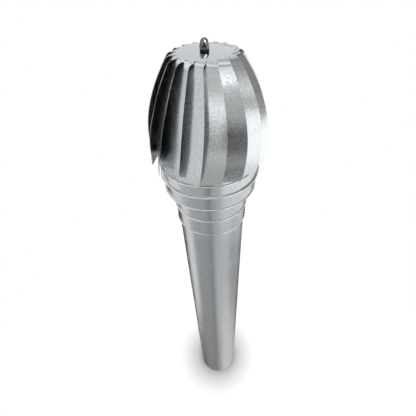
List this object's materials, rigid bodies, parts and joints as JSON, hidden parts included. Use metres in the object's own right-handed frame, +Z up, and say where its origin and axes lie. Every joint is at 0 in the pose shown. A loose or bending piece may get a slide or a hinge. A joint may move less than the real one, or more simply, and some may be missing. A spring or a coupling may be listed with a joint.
{
  "type": "roof turbine ventilator",
  "caption": "Wind-driven turbine head with pitched louvre vanes under a sawtooth cap, turning on ball bearings in a cup on top of a beaded neck and a long round flue pipe.",
  "frame": {"origin": "centre of the flue pipe's lower end, where it stands", "axes": "+Z up along the pipe and the rotor's axis; the pipe's lock seam is on the +Y side"},
  "size_m": [0.2208, 0.2184, 1.3653],
  "materials": {
    "galvanised_stack": "hot-dip galvanised sheet, fine spangle",
    "galvanised_head": "bright galvanised sheet, fine spangle",
    "zinc_plate": "bright zinc plate",
    "rivet_aluminium": "plain aluminium",
    "turned_steel": "turned steel",
    "bearing_steel": "ground bearing steel",
    "cage_brass": "pressed brass strip",
    "black_steel": "oiled black spring steel",
    "black_rubber": "matte black rubber"
  },
  "bodies": {
    "stack": {"flue_pipe": "galvanised_stack", "neck_collar": "galvanised_stack", "base_cup": "galvanised_stack", "bearing_spider": "zinc_plate", "bearing_tube": "turned_steel", "tube_screws": "zinc_plate", "tube_nuts": "zinc_plate", "spider_rivets": "rivet_aluminium", "cup_rivets": "rivet_aluminium", "lower_bearing_clip": "black_steel", "upper_bearing_clip": "black_steel", "lower_bearing_outer_ring": "bearing_steel", "upper_bearing_outer_ring": "bearing_steel", "lower_bearing_shields": "bearing_steel", "upper_bearing_shields": "bearing_steel"},
    "rotor": {"cap_plate": "galvanised_head", "skirt_ring": "galvanised_head", "rotor_shaft": "turned_steel", "shaft_collar": "turned_steel", "grub_screw": "black_steel", "domed_nut": "zinc_plate", "seal_washer": "black_rubber", "penny_washer": "zinc_plate", "lock_nut": "zinc_plate", "shaft_clip": "black_steel", "vane_rivets": "rivet_aluminium", "lower_bearing_inner_ring": "bearing_steel", "upper_bearing_inner_ring": "bearing_steel", "vane_01": "galvanised_head", "vane_02": "galvanised_head", "vane_03": "galvanised_head", "vane_04": "galvanised_head", "vane_05": "galvanised_head", "vane_06": "galvanised_head", "vane_07": "galvanised_head", "vane_08": "galvanised_head", "vane_09": "galvanised_head", "vane_10": "galvanised_head", "vane_11": "galvanised_head", "vane_12": "galvanised_head", "vane_13": "galvanised_head", "vane_14": "galvanised_head", "vane_15": "galvanised_head", "vane_16": "galvanised_head", "vane_17": "galvanised_head", "vane_18": "galvanised_head"},
    "lower_ball_set": {"lower_bearing_balls": "bearing_steel", "lower_bearing_ball_cage": "cage_brass"},
    "upper_ball_set": {"upper_bearing_balls": "bearing_steel", "upper_bearing_ball_cage": "cage_brass"}
  },
  "joints": [
    {"name": "rotor_spin", "type": "hinge", "parent": "stack", "child": "rotor", "pos_m": [0, 0, 1.2278], "axis": [0, 0, 1], "continuous": true},
    {"name": "lower_ball_spin", "type": "hinge", "parent": "stack", "child": "lower_ball_set", "pos_m": [0, 0, 1.0804], "axis": [0, 0, 1], "continuous": true},
    {"name": "upper_ball_spin", "type": "hinge", "parent": "stack", "child": "upper_ball_set", "pos_m": [0, 0, 1.2278], "axis": [0, 0, 1], "continuous": true}
  ],
  "couplings": [
    {"joint": "lower_ball_spin", "follows": "rotor_spin", "ratio": 0.3677},
    {"joint": "upper_ball_spin", "follows": "rotor_spin", "ratio": 0.3677}
  ]
}
